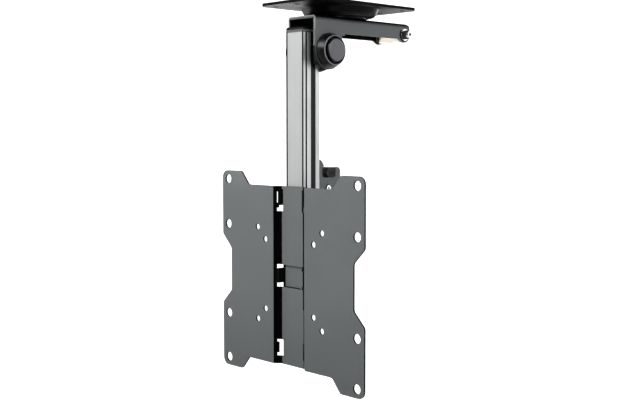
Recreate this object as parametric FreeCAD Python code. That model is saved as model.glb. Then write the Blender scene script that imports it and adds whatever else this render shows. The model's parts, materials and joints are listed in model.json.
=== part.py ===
"""Folding ceiling mount for a flat screen, millimetres, +Z up.

The origin is on the swivel axis, at the face of the ceiling plate that meets the
ceiling. +X is the viewer's right, +Y runs from the screen side towards the rear.
The mount is drawn with its column hanging down and the screen plate upright.
"""
import FreeCAD
import Part
import math
import os

Vec = FreeCAD.Vector

# ceiling plate with its pressed dish
ceiling_width = 92.0
ceiling_length = 152.0
ceiling_sheet = 3.0
ceiling_corner = 10.0
ceiling_hole_radius = 3.5
ceiling_hole_pitch_x = 68.0
ceiling_hole_pitch_y = 124.0
dish_radius = 42.0
dish_floor_radius = 34.0
dish_depth = 10.0
dish_round = 4.0
dish_rim_drop = 1.2
dish_foot_run = 5.0
dish_foot_rise = 3.2

# swivel joint under the dish
swivel_bolt_radius = 5.0
swivel_head_width = 17.0
swivel_head_height = 5.5
swivel_disc_radius = 28.0
swivel_disc_thickness = 1.7
swivel_washer_radius = 11.0
swivel_washer_thickness = 2.0
swivel_spring_height = 2.4
swivel_spring_cup = 1.0
swivel_nut_collar = 2.1
bolt_tip = 2.0
swivel_nut_height = 7.0
running_gap = 0.06

# arm, a channel folded from sheet and open underneath
arm_half_width = 20.7
arm_sheet = 3.0
arm_bend = 3.4
arm_side_depth = 17.0
arm_lobe_radius = 19.5
arm_web_slope = 30.0
arm_corner_round = 9.0
arm_rear_round = 6.0
arm_notch_half_width = 11.5
arm_notch_length = 22.0
arm_web_reach = 26.0

# folding hinge
pivot_ahead = 36.5
pivot_drop = 50.6
axle_radius = 4.0
axle_head_width = 13.0
axle_head_height = 4.0
axle_washer_radius = 8.0
axle_washer_thickness = 1.2
friction_washer_radius = 14.0
friction_washer_thickness = 2.0
knuckle_radius = 19.0
knuckle_tail = 22.0
knuckle_cheek_front = 16.0
knuckle_screw_radius = 2.5
knuckle_screw_rise = 14.0
knuckle_seat_depth = 6.5
cover_base_radius = 18.4
cover_rim_radius = 15.7
cover_height = 9.6
cover_wall = 2.0
cover_top_wall = 1.4
cover_groove_depth = 2.8
cover_edge = 0.7
cover_disc_radius = 12.0
cover_disc_proud = 3.0
cover_disc_edge = 1.5

# striker bolt across the rear end of the arm
striker_behind = 81.0
striker_drop = 27.0
striker_radius = 3.5
striker_lobe_radius = 8.6
striker_slope = 30.0
striker_bore = 1.4
striker_bore_depth = 3.0
striker_washer_radius = 6.5
striker_washer_thickness = 1.2
striker_collar_radius = 5.0
striker_collar_thickness = 2.8
striker_end_reach = 4.4
striker_spacer_radius = 7.8

# soft buffer on the striker bolt, between the arm's sides
buffer_drop = 7.7
buffer_rise = 6.0
buffer_ahead = 4.8
buffer_flat = 3.6
buffer_left = 13.5
buffer_slot_gap = 0.5
buffer_round = 1.0

# aluminium column
column_size = 25.0
column_back_gap = 5.5
column_rise = 19.1
column_edge = 0.6
column_lip = 1.6
column_slot_start = 12.3
column_slot_mouth = 6.8
column_slot_spread = 1.6
column_slot_depth = 5.5
column_groove_starts = (0.5, 5.0)
column_groove_widths = (1.1, 1.6)
column_groove_depth = 1.5
column_chamber_half = 9.0
column_chamber_depth = 7.4
column_wall = 1.8
column_core_radius = 2.4
column_mitre = 35.0
cap_height = 5.0
cap_round = 2.0
cap_plug_depth = 8.0
cap_clearance = 0.2
foot_cap_thickness = 2.0
strip_recess = 1.3
strip_thickness = 1.4
strip_barb = 1.0
slot_nut_half = 4.6
slot_nut_thickness = 2.2

# screen plate
vesa_drop = 287.0
vesa_front_ahead = 75.0
vesa_half = 110.0
vesa_half_height = 109.3
vesa_waist = 95.0
vesa_sheet = 2.0
vesa_outer_hole_radius = 5.0
vesa_inner_hole_radius = 3.2
vesa_ear_inner_top = 77.0
vesa_ear_inner_waist = 65.0
vesa_ear_outer_top = 38.5
vesa_ear_outer_waist = 23.5
vesa_corner_round = 8.0
vesa_notch_round = 5.0
channel_mouth_half = 24.3
channel_floor_half = 18.2
channel_depth = 5.5
channel_bend = 1.2
window_reach = 14.6
window_reach_low_right = 16.2
window_side = 1.6
window_margin = 0.9
window_strip = 1.0
window_tab = 1.8
upper_window = (68.3, 89.0)
upper_tab = (72.0, 77.3)
middle_window = (-12.4, 11.8)
middle_margin = 0.4
lower_window = (-86.7, -68.8)
lower_tab = (-83.3, -71.7)

# head bracket that carries the screen plate, and its tilt joint
head_sheet = 2.5
head_gap = 0.1
head_web_half = 14.4
head_ear_inner = 17.5
head_web_top = 58.0
head_web_bottom = -17.0
head_flange_depth = 6.0
head_flange_low = 14.0
head_flange_high = 46.0
head_ear_radius = 11.5
head_tongue_height = 15.5
tilt_height = 79.5
tilt_bolt_radius = 4.0
tilt_head_height = 5.0
tilt_washer_radius = 7.5
tilt_washer_thickness = 1.2
tilt_bush_radius = 9.0
hook_nose = 2.6
hook_tip_ahead = 4.7
hook_thickness = 1.0
hook_relief = 4.4
hook_foot = 6.5
tongue_ahead = 5.9

# latch housing and claw on the back of the column
latch_height = 92.5
latch_behind_column = 12.3
housing_sheet = 2.5
housing_depth = 30.2
housing_top = 114.5
housing_bottom = 79.0
housing_corner = 4.0
housing_notch_start = 3.9
housing_notch_end = 23.3
housing_notch_bottom = 103.8
housing_notch_round = 2.8
housing_screw_radius = 2.0
housing_screw_margin = 5.5
housing_screw_head = 1.0
fin_rise = 8.2
fin_reach = 6.1
fin_nose = 1.4
latch_pin_radius = 2.0
latch_pin_behind = 5.8
latch_pin_rise = 14.5
latch_rivet_radius = 2.0
latch_rivet_head = 2.9
latch_rivet_head_height = 1.2
claw_thickness = 3.0
claw_offset = 5.5
claw_swing = 20.0
claw_gap = 0.4
claw_hub_radius = 8.0
claw_jaw_thickness = 3.6
claw_jaw_rise = 2.6
claw_mouth_start = -1.0
grip_top = 22.0
grip_rear = 10.4
grip_inner_low = 9.2
grip_round = 2.0
grip_proud = 0.9
grip_gap = 0.15
spring_wire = 0.5
spring_turns = 4
spring_bore_gap = 0.7
spring_leg = 5.0

# places that follow from the sizes above
dish_bottom = -ceiling_sheet - dish_depth
arm_top = dish_bottom - swivel_disc_thickness
arm_ceiling = arm_top - arm_sheet
arm_inner = arm_half_width - arm_sheet
arm_side_bottom = arm_top - arm_side_depth
arm_rear = striker_behind + striker_lobe_radius
pivot_y = -pivot_ahead
pivot_z = -pivot_drop
arm_front = pivot_y - arm_lobe_radius
column_half = column_size / 2
column_back = pivot_y - column_back_gap
column_front = column_back - column_size
column_middle = (column_front + column_back) / 2
column_top = pivot_z + column_rise
vesa_y = -vesa_front_ahead
floor_front = vesa_y + channel_depth
floor_back = floor_front + vesa_sheet
tilt_z = tilt_height - vesa_drop
tilt_y = column_middle
latch_y = column_back + latch_behind_column
latch_z = latch_height - vesa_drop


def box(x0, x1, y0, y1, z0, z1):
    """Box between two corners."""
    return Part.makeBox(x1 - x0, y1 - y0, z1 - z0, Vec(x0, y0, z0))


def rod_x(radius, x0, x1, y, z):
    """Cylinder along X."""
    return Part.makeCylinder(radius, x1 - x0, Vec(x0, y, z), Vec(1, 0, 0))


def rod_y(radius, y0, y1, x, z):
    """Cylinder along Y."""
    return Part.makeCylinder(radius, y1 - y0, Vec(x, y0, z), Vec(0, 1, 0))


def rod_z(radius, z0, z1, x=0.0, y=0.0):
    """Cylinder along Z."""
    return Part.makeCylinder(radius, z1 - z0, Vec(x, y, z0), Vec(0, 0, 1))


def hexagon(width, height, start, direction):
    """Hexagonal prism with a given width across flats."""
    corner = width / math.sqrt(3)
    points = [Vec(corner * math.cos(math.radians(60 * i)), corner * math.sin(math.radians(60 * i)), 0)
              for i in range(7)]
    solid = Part.Face(Part.makePolygon(points)).extrude(Vec(0, 0, height))
    solid.Placement = FreeCAD.Placement(start, FreeCAD.Rotation(Vec(0, 0, 1), direction))
    return solid


def prism_x(points, x0, x1):
    """Outline in (y, z) pushed along X."""
    corners = [Vec(x0, y, z) for y, z in points + points[:1]]
    return Part.Face(Part.makePolygon(corners)).extrude(Vec(x1 - x0, 0, 0))


def prism_y(points, y0, y1):
    """Outline in (x, z) pushed along Y."""
    corners = [Vec(x, y0, z) for x, z in points + points[:1]]
    return Part.Face(Part.makePolygon(corners)).extrude(Vec(0, y1 - y0, 0))


def prism_z(points, z0, z1):
    """Outline in (x, y) pushed along Z."""
    corners = [Vec(x, y, z0) for x, y in points + points[:1]]
    return Part.Face(Part.makePolygon(corners)).extrude(Vec(0, 0, z1 - z0))


def turned_x(profile, y, z, side=1):
    """Outline in (distance along X, radius) turned about an axis along X."""
    corners = [Vec(side * x, y, z + r) for x, r in profile + profile[:1]]
    return Part.Face(Part.makePolygon(corners)).revolve(Vec(0, y, z), Vec(1, 0, 0), 360)


def turned_z(profile):
    """Outline in (radius, z) turned about the Z axis."""
    corners = [Vec(r, 0, z) for r, z in profile + profile[:1]]
    return Part.Face(Part.makePolygon(corners)).revolve(Vec(0, 0, 0), Vec(0, 0, 1), 360)


def rounded(shape, radius, axis, places):
    """Round the edges along one axis that pass through the given places."""
    chosen = []
    for edge in shape.Edges:
        if len(edge.Vertexes) != 2:
            continue
        start, end = edge.Vertexes[0].Point, edge.Vertexes[1].Point
        along = end - start
        if along.Length < 1e-6 or abs(abs(along.normalize().dot(axis)) - 1) > 1e-6:
            continue
        for place in places:
            across = start - place
            across = across - axis * across.dot(axis)
            if across.Length < 0.01:
                chosen.append(edge)
    return shape.makeFillet(radius, chosen)


def both_sides(make):
    """Two mirrored solids as one group."""
    return Part.makeCompound([make(1), make(-1)])


def span(side, x0, x1):
    """Order two distances from the middle plane for one side."""
    return (x0, x1) if side > 0 else (-x1, -x0)


def ceiling_plate():
    """Flat plate with a round dish pressed down into it."""
    half_x, half_y = ceiling_width / 2, ceiling_length / 2
    plate = box(-half_x, half_x, -half_y, half_y, -ceiling_sheet, 0)
    corners = [Vec(x, y, 0) for x in (-half_x, half_x) for y in (-half_y, half_y)]
    plate = rounded(plate, ceiling_corner, Vec(0, 0, 1), corners)
    lip = dish_radius + dish_round
    foot = dish_floor_radius + dish_foot_run
    corner = (dish_floor_radius + dish_foot_run * 0.6, dish_bottom + dish_foot_rise * 0.28)
    outside = turned_z([(0, -ceiling_sheet), (lip, -ceiling_sheet),
                        (dish_radius, -ceiling_sheet - dish_rim_drop),
                        (foot, dish_bottom + dish_foot_rise), corner,
                        (dish_floor_radius, dish_bottom), (0, dish_bottom)])
    inner_floor = dish_bottom + ceiling_sheet
    hollow = turned_z([(0, 0), (lip - ceiling_sheet / 2, 0),
                       (dish_radius - ceiling_sheet * 0.87, -ceiling_sheet / 2),
                       (foot - ceiling_sheet * 0.93, inner_floor + dish_foot_rise * 0.6),
                       (dish_floor_radius - ceiling_sheet / 3, inner_floor), (0, inner_floor)])
    plate = plate.fuse(outside).cut(hollow)
    for x in (-ceiling_hole_pitch_x / 2, 0, ceiling_hole_pitch_x / 2):
        for y in (-ceiling_hole_pitch_y / 2, ceiling_hole_pitch_y / 2):
            plate = plate.cut(rod_z(ceiling_hole_radius, -ceiling_sheet, 0, x, y))
    return plate.cut(rod_z(swivel_bolt_radius + running_gap, dish_bottom, 0))


def swivel_stack():
    """Levels of the washers and the nut under the arm."""
    washer = arm_ceiling - swivel_washer_thickness
    spring = washer - swivel_spring_height
    return washer, spring, spring - swivel_nut_height


def swivel_bolt():
    """Hexagon bolt that hangs the arm from the dish."""
    floor = dish_bottom + ceiling_sheet
    head = hexagon(swivel_head_width, swivel_head_height, Vec(0, 0, floor), Vec(0, 0, 1))
    shank = rod_z(swivel_bolt_radius, swivel_stack()[2] - bolt_tip, floor)
    return head.fuse(shank).removeSplitter()


def swivel_disc():
    """Flat plastic disc between the dish and the arm."""
    ring = rod_z(swivel_disc_radius, arm_top, dish_bottom)
    return ring.cut(rod_z(swivel_bolt_radius + running_gap, arm_top, dish_bottom))


def swivel_washer():
    """Steel washer under the arm."""
    level = swivel_stack()[0]
    ring = rod_z(swivel_washer_radius, level, arm_ceiling)
    return ring.cut(rod_z(swivel_bolt_radius + running_gap, level, arm_ceiling))


def swivel_spring():
    """Cupped spring washer."""
    washer, level = swivel_stack()[0], swivel_stack()[1]
    bore = swivel_bolt_radius + running_gap
    sheet = swivel_spring_height - swivel_spring_cup
    rim = swivel_washer_radius - running_gap
    return turned_z([(bore, level + sheet), (rim, washer), (rim, washer - sheet), (bore, level)])


def swivel_nut():
    """Lock nut with its plain collar."""
    spring, level = swivel_stack()[1], swivel_stack()[2]
    flats = hexagon(swivel_head_width, swivel_nut_height - swivel_nut_collar, Vec(0, 0, spring),
                    Vec(0, 0, -1))
    collar = rod_z((swivel_head_width - swivel_nut_collar) / 2, level, spring)
    return flats.fuse(collar).cut(rod_z(swivel_bolt_radius, level, spring)).removeSplitter()


def tangent_point(radius, y, z, side=1):
    """Where a line from a point touches a circle about the origin, as (y, z)."""
    away = math.hypot(y, z)
    turn = side * math.acos(min(radius / away, 1.0)) + math.atan2(z, y)
    return radius * math.cos(turn), radius * math.sin(turn)


def arm_side_outline():
    """Side view of the arm as a flat solid, wide enough to cut the folded channel."""
    x0, x1 = -arm_half_width, arm_half_width
    front = box(x0, x1, arm_front, pivot_y + arm_lobe_radius, pivot_z, arm_top)
    lobe = rod_x(arm_lobe_radius, x0, x1, pivot_y, pivot_z)
    beam = box(x0, x1, pivot_y, arm_rear, arm_side_bottom, arm_top)
    beam = rounded(beam, arm_rear_round, Vec(1, 0, 0), [Vec(0, arm_rear, arm_top)])
    eye = rod_x(striker_lobe_radius, x0, x1, striker_behind, -striker_drop)
    lean = math.radians(striker_slope)
    touch_y = striker_behind - striker_lobe_radius * math.sin(lean)
    touch_z = -striker_drop - striker_lobe_radius * math.cos(lean)
    ramp_start = touch_y - (arm_side_bottom - touch_z) / math.tan(lean)
    ramp = prism_x([(ramp_start, arm_side_bottom), (touch_y, touch_z), (striker_behind, -striker_drop),
                    (striker_behind, arm_side_bottom)], x0, x1)
    beam = beam.cut(box(x0, x1, striker_behind, arm_rear, arm_side_bottom, -striker_drop))
    rise = math.radians(arm_web_slope)
    web = prism_x([(pivot_y, pivot_z),
                   (pivot_y + arm_lobe_radius * math.cos(rise), pivot_z + arm_lobe_radius * math.sin(rise)),
                   (pivot_y + arm_web_reach - arm_corner_round * 0.78, arm_side_bottom - arm_sheet),
                   (pivot_y + arm_web_reach, arm_side_bottom), (pivot_y, arm_side_bottom)], x0, x1)
    return front.fuse([lobe, web, beam, eye, ramp]).removeSplitter()


def arm_bracket():
    """Folded channel, open underneath, with eyes for the hinge and the striker."""
    low = pivot_z - arm_lobe_radius * 2
    channel = box(-arm_half_width, arm_half_width, arm_front, arm_rear, low, arm_top)
    edges = [Vec(side * arm_half_width, 0, arm_top) for side in (-1, 1)]
    channel = rounded(channel, arm_bend, Vec(0, 1, 0), edges)
    inside = box(-arm_inner, arm_inner, arm_front, arm_rear, low, arm_ceiling)
    edges = [Vec(side * arm_inner, 0, arm_ceiling) for side in (-1, 1)]
    inside = rounded(inside, max(arm_bend - arm_sheet, running_gap), Vec(0, 1, 0), edges)
    arm = channel.cut(inside).common(arm_side_outline())
    arm = arm.cut(box(-arm_notch_half_width, arm_notch_half_width, arm_rear - arm_notch_length, arm_rear,
                      arm_ceiling, arm_top))
    arm = arm.cut(rod_z(swivel_bolt_radius + running_gap, arm_ceiling, arm_top))
    arm = arm.cut(rod_x(axle_radius + running_gap, -arm_half_width, arm_half_width, pivot_y, pivot_z))
    return arm.cut(rod_x(striker_radius + running_gap, -arm_half_width, arm_half_width,
                         striker_behind, -striker_drop))


def hinge_axle():
    """Bolt through the hinge, with its head on the right."""
    start = arm_half_width + axle_washer_thickness
    head = hexagon(axle_head_width, axle_head_height, Vec(start, pivot_y, pivot_z), Vec(1, 0, 0))
    shank = rod_x(axle_radius, -start - axle_head_height, start, pivot_y, pivot_z)
    return head.fuse(shank).removeSplitter()


def hinge_axle_nut():
    """Nut at the left end of the axle."""
    start = -arm_half_width - axle_washer_thickness
    nut = hexagon(axle_head_width, axle_head_height, Vec(start, pivot_y, pivot_z), Vec(-1, 0, 0))
    return nut.cut(rod_x(axle_radius, start - axle_head_height, start, pivot_y, pivot_z))


def washer_x(side, x0, radius, thickness, bore, y, z):
    """Flat washer on an axis along X, seated x0 from the middle plane."""
    low, high = span(side, x0, x0 + thickness)
    return rod_x(radius, low, high, y, z).cut(rod_x(bore, low, high, y, z))


def hinge_axle_washers():
    """Washers under the axle's head and nut."""
    return both_sides(lambda side: washer_x(side, arm_half_width, axle_washer_radius,
                                            axle_washer_thickness, axle_radius + running_gap,
                                            pivot_y, pivot_z))


def hinge_friction_washers():
    """Plastic washers between the knuckle and the arm's sides."""
    start = arm_inner - friction_washer_thickness
    return both_sides(lambda side: washer_x(side, start, friction_washer_radius,
                                            friction_washer_thickness, axle_radius + running_gap,
                                            pivot_y, pivot_z))


def hinge_cover(side):
    """Hollow moulded cover over one end of the axle."""
    base = arm_half_width
    rim = base + cover_height
    ledge = rim - cover_groove_depth
    taper = cover_base_radius - cover_rim_radius
    profile = [(base, cover_base_radius - cover_wall), (base, cover_base_radius),
               (base + cover_height / 6, cover_base_radius),
               (base + cover_height * 0.44, cover_base_radius - taper / 4),
               (rim - cover_edge, cover_rim_radius), (rim, cover_rim_radius - cover_edge),
               (rim, cover_rim_radius - cover_edge * 2), (ledge, cover_disc_radius + cover_edge),
               (ledge, 0), (ledge - cover_top_wall, 0),
               (ledge - cover_top_wall, cover_rim_radius - cover_wall * 2)]
    return turned_x(profile, pivot_y, pivot_z, side)


def cover_disc(side):
    """Plain round button pressed into the middle of a cover."""
    seat = arm_half_width + cover_height - cover_groove_depth
    face = arm_half_width + cover_height + cover_disc_proud
    profile = [(seat, 0), (seat, cover_disc_radius), (face - cover_disc_edge, cover_disc_radius),
               (face - cover_disc_edge / 3, cover_disc_radius - cover_disc_edge / 3),
               (face - cover_disc_edge / 15, cover_disc_radius - cover_disc_edge),
               (face, cover_disc_radius - cover_disc_edge * 3), (face, 0)]
    return turned_x(profile, pivot_y, pivot_z, side)


def knuckle():
    """Hinge knuckle: a saddle on the back of the column around the axle."""
    half = arm_inner - friction_washer_thickness
    body = rod_x(knuckle_radius, -half, half, pivot_y, pivot_z)
    cheeks = column_front + knuckle_cheek_front
    body = body.common(box(-half, half, cheeks, pivot_y + knuckle_radius, pivot_z - knuckle_radius,
                           pivot_z + knuckle_radius))
    body = body.cut(box(-column_half, column_half, cheeks, column_back, pivot_z - knuckle_radius,
                        pivot_z + knuckle_radius))
    touch_y, touch_z = tangent_point(knuckle_radius, -column_back_gap, -knuckle_tail)
    tails = prism_x([(column_back, pivot_z - knuckle_tail), (pivot_y + touch_y, pivot_z + touch_z),
                     (pivot_y, pivot_z), (pivot_y + touch_y, pivot_z - touch_z),
                     (column_back, pivot_z + knuckle_tail)], -half, half)
    body = body.fuse(tails).removeSplitter()
    body = body.cut(rod_x(axle_radius + running_gap, -half, half, pivot_y, pivot_z))
    for rise in (-knuckle_screw_rise, knuckle_screw_rise):
        z = pivot_z + rise
        body = body.cut(rod_y(knuckle_screw_radius + cap_clearance, column_back,
                              column_back + knuckle_seat_depth, 0, z))
        body = body.cut(rod_y(knuckle_screw_radius * 2, column_back + knuckle_seat_depth,
                              pivot_y + knuckle_radius, 0, z))
    return body


def cap_screw(y_seat, x, z, radius, depth):
    """Socket screw driven towards the front, its head resting at y_seat."""
    head = rod_y(radius * 1.75, y_seat, y_seat + radius * 1.7, x, z)
    socket = hexagon(radius * 1.5, radius, Vec(x, y_seat + radius * 1.7, z), Vec(0, -1, 0))
    return head.fuse(rod_y(radius, y_seat - depth, y_seat, x, z)).removeSplitter().cut(socket)


def slot_nut_back():
    """Depth range of a nut behind the lips of the column's rear slot."""
    return column_back - column_lip - slot_nut_thickness, column_back - column_lip


def slot_nut(z, radius):
    """Square nut held in the column's rear slot."""
    y0, y1 = slot_nut_back()
    nut = box(-slot_nut_half, slot_nut_half, y0, y1, z - slot_nut_half, z + slot_nut_half)
    return nut.cut(rod_y(radius, y0, y1, 0, z))


def knuckle_screw_heights():
    """Heights of the two screws of the knuckle."""
    return [pivot_z - knuckle_screw_rise, pivot_z + knuckle_screw_rise]


def knuckle_screws():
    """Two screws that hold the knuckle on the column."""
    seat = column_back + knuckle_seat_depth
    depth = seat - slot_nut_back()[0]
    return Part.makeCompound([cap_screw(seat, 0, z, knuckle_screw_radius, depth)
                              for z in knuckle_screw_heights()])


def knuckle_nuts():
    """Square nuts of the knuckle."""
    return Part.makeCompound([slot_nut(z, knuckle_screw_radius) for z in knuckle_screw_heights()])


def column_outline(z0, z1):
    """Plain outside of the column between two heights."""
    points = [(-column_half, column_front), (column_half, column_front),
              (column_half, column_back), (-column_half, column_back)]
    solid = prism_z(points, z0, z1)
    corners = [Vec(x, y, 0) for x, y in points]
    return rounded(solid, column_edge, Vec(0, 0, 1), corners)


def side_slot(side, z0, z1):
    """Undercut slot in one side of the column."""
    start = column_front + column_slot_start
    end = start + column_slot_mouth
    mouth = span(side, column_half - column_slot_depth, column_half)
    room = span(side, column_half - column_slot_depth, column_half - column_lip)
    opening = box(mouth[0], mouth[1], start, end, z0, z1)
    return opening.fuse(box(room[0], room[1], start - column_slot_spread, end + column_slot_spread, z0, z1))


def rear_slot(z0, z1):
    """Undercut slot in the back of the column."""
    half = column_slot_mouth / 2
    room_front = column_back - column_slot_depth
    opening = box(-half, half, room_front, column_back, z0, z1)
    wide = half + column_slot_spread
    return opening.fuse(box(-wide, wide, room_front, column_back - column_lip, z0, z1))


def mitre_cutter(thickness):
    """Everything below the slanted lower end of the column, less a thickness."""
    slope = math.tan(math.radians(column_mitre))
    drop = thickness / math.cos(math.radians(column_mitre))
    high = tilt_z - drop
    back = high - column_size * slope
    low = back - column_size * 2
    return prism_x([(column_front, low), (column_back, low), (column_back, back), (column_front, high)],
                   -column_half, column_half)


def column_profile():
    """Extruded aluminium column with grooves, slots and a mitred lower end."""
    low = tilt_z - column_size
    column = column_outline(low, column_top)
    for side in (-1, 1):
        column = column.cut(side_slot(side, low, column_top))
        for start, width in zip(column_groove_starts, column_groove_widths):
            x0, x1 = span(side, column_half - column_groove_depth, column_half)
            y0 = column_front + start
            column = column.cut(box(x0, x1, y0, y0 + width, low, column_top))
    column = column.cut(rear_slot(low, column_top))
    chamber_front = column_front + column_wall
    column = column.cut(box(-column_chamber_half, column_chamber_half, chamber_front,
                            chamber_front + column_chamber_depth, low, column_top))
    core_y = column_front + column_slot_start + column_slot_mouth / 2
    column = column.cut(rod_z(column_core_radius, low, column_top, 0, core_y))
    column = column.cut(mitre_cutter(0))
    return column.cut(rod_x(tilt_bolt_radius + running_gap, -column_half, column_half, tilt_y, tilt_z))


def column_top_cap():
    """Moulded cap with a plug in the column's front chamber."""
    cap = column_outline(column_top, column_top + cap_height)
    rim = [edge for edge in cap.Edges
           if all(abs(vertex.Z - column_top - cap_height) < 1e-6 for vertex in edge.Vertexes)]
    cap = cap.makeFillet(cap_round, rim)
    chamber_front = column_front + column_wall
    half = column_chamber_half - cap_clearance
    plug = box(-half, half, chamber_front + cap_clearance,
               chamber_front + column_chamber_depth - cap_clearance, column_top - cap_plug_depth, column_top)
    return cap.fuse(plug)


def column_foot_cap():
    """Flat moulded cap on the mitred lower end."""
    blank = column_outline(tilt_z - column_size * 1.2, tilt_z)
    return blank.common(mitre_cutter(0)).cut(mitre_cutter(foot_cap_thickness))


def slot_strip(side):
    """Black strip pressed into a side slot of the column."""
    start = column_front + column_slot_start
    outer = column_half - column_lip + strip_recess - strip_thickness
    low = tilt_z + tilt_bush_radius + column_edge
    face = span(side, outer, outer + strip_thickness)
    barb = span(side, outer - strip_barb, outer)
    strip = box(face[0], face[1], start, start + column_slot_mouth, low, column_top)
    inner_reach = column_slot_spread - cap_clearance
    return strip.fuse(box(barb[0], barb[1], start - inner_reach,
                          start + column_slot_mouth + inner_reach, low, column_top)).removeSplitter()


def vesa_section(z0, z1):
    """Cross-section of the folded sheet pushed over its whole height."""
    lean_x = channel_mouth_half - channel_floor_half
    length = math.hypot(lean_x, channel_depth)
    shift = vesa_sheet * (length - lean_x) / channel_depth
    mouth, floor = channel_mouth_half, channel_floor_half
    front = [(-vesa_half, vesa_y), (-mouth, vesa_y), (-floor, floor_front), (floor, floor_front),
             (mouth, vesa_y), (vesa_half, vesa_y)]
    back = [(x, y + vesa_sheet) for x, y in reversed(front)]
    back[1] = (mouth + shift, vesa_y + vesa_sheet)
    back[4] = (-mouth - shift, vesa_y + vesa_sheet)
    back[2] = (floor + shift, floor_back)
    back[3] = (-floor - shift, floor_back)
    sheet = prism_z(front + back, z0, z1)
    inner = [Vec(x, y, 0) for x, y in (front[1], front[4], back[2], back[3])]
    outer = [Vec(x, y, 0) for x, y in (front[2], front[3], back[1], back[4])]
    sheet = rounded(sheet, channel_bend + vesa_sheet * 0.5, Vec(0, 0, 1), inner)
    return rounded(sheet, channel_bend, Vec(0, 0, 1), outer)


def vesa_outline():
    """Front view of the plate with its four ears."""
    side, top, waist = vesa_half, vesa_half_height, vesa_waist
    in_top, in_waist = vesa_ear_inner_top, vesa_ear_inner_waist
    out_top, out_waist = vesa_ear_outer_top, vesa_ear_outer_waist
    quarter = [(in_waist, waist), (in_top, top), (side, top), (side, out_top), (waist, out_waist)]
    points = quarter + [(x, -z) for x, z in reversed(quarter)]
    points += [(-x, -z) for x, z in quarter] + [(-x, z) for x, z in reversed(quarter)]
    points = [(x, z - vesa_drop) for x, z in points]
    solid = prism_y(points, vesa_y - 1.0, floor_back + 1.0)
    corners = [Vec(x, 0, z - vesa_drop) for x in (-side, side) for z in (-top, top)]
    solid = rounded(solid, vesa_corner_round, Vec(0, 1, 0), corners)
    others = [Vec(x, 0, z) for x, z in points if Vec(x, 0, z) not in corners]
    return rounded(solid, vesa_notch_round, Vec(0, 1, 0), others)


def vesa_holes():
    """Screw holes of the four standard screen patterns."""
    holes = []
    patterns = [(200, 200, vesa_outer_hole_radius), (200, 100, vesa_outer_hole_radius),
                (100, 100, vesa_inner_hole_radius), (75, 75, vesa_inner_hole_radius)]
    for width, height, radius in patterns:
        for x in (-width / 2, width / 2):
            for z in (-height / 2, height / 2):
                holes.append(rod_y(radius, vesa_y - 1, floor_back + 1, x, z - vesa_drop))
    return holes


def corner_window(side, limits, reach, tab=None):
    """Opening through a wall and the corner of the channel's floor, with an optional tab left in it."""
    outer = channel_mouth_half - window_side
    x0, x1 = span(side, reach, outer)
    front, back = vesa_y + window_margin, floor_back + 1
    opening = box(x0, x1, front, back, limits[0] - vesa_drop, limits[1] - vesa_drop)
    if tab is None:
        return opening
    x0, x1 = span(side, outer - window_tab, outer)
    return opening.cut(box(x0, x1, front, back, tab[0] - vesa_drop, tab[1] - vesa_drop))


def vesa_plate():
    """Pressed screen plate with a shallow channel down its middle."""
    sheet = vesa_section(-vesa_half - vesa_drop, vesa_half - vesa_drop).common(vesa_outline())
    cutters = vesa_holes()
    for side in (-1, 1):
        cutters.append(corner_window(side, upper_window, window_reach, upper_tab))
        cutters.append(corner_window(side, middle_window, window_reach))
        reach = window_reach_low_right if side > 0 else window_reach
        cutters.append(corner_window(side, lower_window, reach, lower_tab))
    low, high = middle_window
    half = window_reach - window_strip
    cutters.append(box(-half, half, vesa_y + vesa_sheet, floor_back + 1,
                       low + middle_margin - vesa_drop, high - middle_margin - vesa_drop))
    return sheet.cut(cutters)


def head_ear_outline():
    """Side view of an ear: flange beside the web, hook, notch and tilt eye."""
    front = floor_back + head_gap
    flange_back = front + head_flange_depth
    base = -vesa_drop
    hook_low = upper_window[0] + base
    hook_high = upper_window[1] + base
    tip = floor_back - hook_tip_ahead
    back = tilt_y + head_ear_radius
    notch = front + hook_relief
    points = [(front, base + head_flange_low), (flange_back, base + head_flange_low),
              (flange_back, base + head_flange_high), (back, base + head_web_top),
              (back, base + tilt_height), (tilt_y, base + tilt_height + head_ear_radius),
              (front + hook_nose, hook_high), (tip + hook_thickness, hook_high),
              (tip + hook_thickness, hook_high + hook_nose), (tip, hook_high + hook_nose),
              (tip, hook_low + hook_foot), (notch, hook_low + hook_foot), (notch, hook_low - hook_nose),
              (front, hook_low - hook_relief)]
    return points


def head_ear(side):
    """One ear of the head bracket."""
    x0, x1 = span(side, head_ear_inner, head_ear_inner + head_sheet)
    ear = prism_x(head_ear_outline(), x0, x1)
    eye = rod_x(head_ear_radius, x0, x1, tilt_y, tilt_z)
    corner = prism_x([(tilt_y, tilt_z), (tilt_y + head_ear_radius, tilt_z),
                      (tilt_y + head_ear_radius, tilt_z + head_ear_radius),
                      (tilt_y, tilt_z + head_ear_radius)], x0, x1)
    return ear.cut(corner).fuse(eye).cut(rod_x(tilt_bolt_radius + running_gap, x0, x1, tilt_y, tilt_z))


def head_tongue(side):
    """Straight tongue that reaches into the middle window of the channel."""
    half = head_tongue_height / 2
    x0, x1 = span(side, head_ear_inner, head_ear_inner + head_sheet)
    front = floor_back + head_gap
    return box(x0, x1, floor_back - tongue_ahead, front + head_sheet, -vesa_drop - half, -vesa_drop + half)


def head_fold(side, low, high):
    """Stretch of sheet that joins the web to an ear or tongue."""
    front = floor_back + head_gap
    x0, x1 = span(side, head_web_half, head_ear_inner + head_sheet)
    return box(x0, x1, front, front + head_sheet, low, high)


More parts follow.
